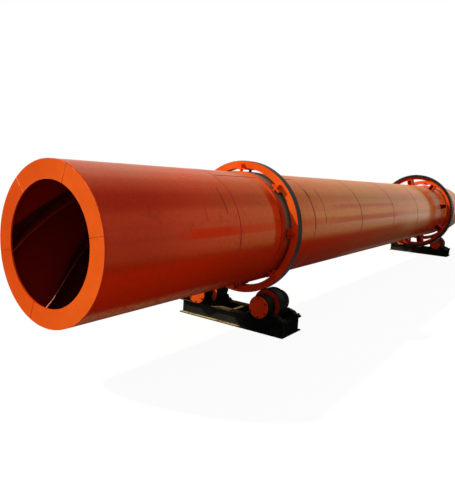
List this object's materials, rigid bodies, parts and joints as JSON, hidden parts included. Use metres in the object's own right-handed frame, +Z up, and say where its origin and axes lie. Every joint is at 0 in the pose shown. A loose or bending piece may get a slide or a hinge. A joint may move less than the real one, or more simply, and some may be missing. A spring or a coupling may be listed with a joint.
{
  "type": "rotary drum dryer",
  "caption": "Long welded drum dryer that turns on riding rings and support rollers over beam bases, with a girth gear and spiral feed flights.",
  "frame": {"origin": "on the floor under the middle of the drum", "axes": "+X along the drum from the feed end to the discharge end, +Y to the left of someone looking that way, +Z up"},
  "size_m": [12, 1.704, 1.9311],
  "materials": {
    "drum_paint": "semi-gloss orange-red paint over primer, weathered",
    "ring_steel": "forged steel, sides painted orange, tread bare and oiled",
    "flight_steel": "primed plate, dull",
    "gear_iron": "cut teeth under dark grease, sides painted",
    "roller_iron": "cast roller, bare dark tread, painted sides",
    "shaft_steel": "turned steel",
    "bearing_paint": "black paint on cast housings",
    "cap_paint": "orange-red paint",
    "base_paint": "black paint, dusty"
  },
  "bodies": {
    "base": {"feed_front_beam": "base_paint", "feed_back_beam": "base_paint", "feed_left_end_beam": "base_paint", "feed_right_end_beam": "base_paint", "feed_cross_member": "base_paint", "feed_left_bearings": "bearing_paint", "feed_right_bearings": "bearing_paint", "feed_bearing_caps": "cap_paint", "discharge_front_beam": "base_paint", "discharge_back_beam": "base_paint", "discharge_left_end_beam": "base_paint", "discharge_right_end_beam": "base_paint", "discharge_cross_member": "base_paint", "discharge_left_bearings": "bearing_paint", "discharge_right_bearings": "bearing_paint", "discharge_bearing_caps": "cap_paint"},
    "drum": {"shell_course_1": "drum_paint", "shell_course_2": "drum_paint", "shell_course_3": "drum_paint", "shell_course_4": "drum_paint", "shell_course_5": "drum_paint", "shell_course_6": "drum_paint", "shell_course_7": "drum_paint", "shell_course_8": "drum_paint", "feed_end_plate": "drum_paint", "discharge_end_plate": "drum_paint", "spiral_flights": "flight_steel", "feed_wrapper_plate": "drum_paint", "discharge_wrapper_plate": "drum_paint", "feed_riding_ring": "ring_steel", "discharge_riding_ring": "ring_steel", "feed_ring_chairs": "drum_paint", "discharge_ring_chairs": "drum_paint", "girth_gear": "gear_iron", "gear_brackets": "drum_paint"},
    "feed_left_roller_set": {"feed_left_roller": "roller_iron", "feed_left_shaft": "shaft_steel"},
    "feed_right_roller_set": {"feed_right_roller": "roller_iron", "feed_right_shaft": "shaft_steel"},
    "discharge_left_roller_set": {"discharge_left_roller": "roller_iron", "discharge_left_shaft": "shaft_steel"},
    "discharge_right_roller_set": {"discharge_right_roller": "roller_iron", "discharge_right_shaft": "shaft_steel"}
  },
  "joints": [
    {"name": "drum_spin", "type": "hinge", "parent": "base", "child": "drum", "pos_m": [0, 0, 1.07912], "axis": [1, 0, 0], "continuous": true},
    {"name": "feed_left_roller_spin", "type": "hinge", "parent": "base", "child": "feed_left_roller_set", "pos_m": [-3.6, 0.41896, 0.2845], "axis": [1, 0, 0], "continuous": true},
    {"name": "feed_right_roller_spin", "type": "hinge", "parent": "base", "child": "feed_right_roller_set", "pos_m": [-3.6, -0.41896, 0.2845], "axis": [1, 0, 0], "continuous": true},
    {"name": "discharge_left_roller_spin", "type": "hinge", "parent": "base", "child": "discharge_left_roller_set", "pos_m": [4.32, 0.41896, 0.2845], "axis": [1, 0, 0], "continuous": true},
    {"name": "discharge_right_roller_spin", "type": "hinge", "parent": "base", "child": "discharge_right_roller_set", "pos_m": [4.32, -0.41896, 0.2845], "axis": [1, 0, 0], "continuous": true}
  ],
  "couplings": [
    {"joint": "feed_left_roller_spin", "follows": "drum_spin", "ratio": -4.3452},
    {"joint": "feed_right_roller_spin", "follows": "drum_spin", "ratio": -4.3452},
    {"joint": "discharge_left_roller_spin", "follows": "drum_spin", "ratio": -4.3452},
    {"joint": "discharge_right_roller_spin", "follows": "drum_spin", "ratio": -4.3452}
  ]
}
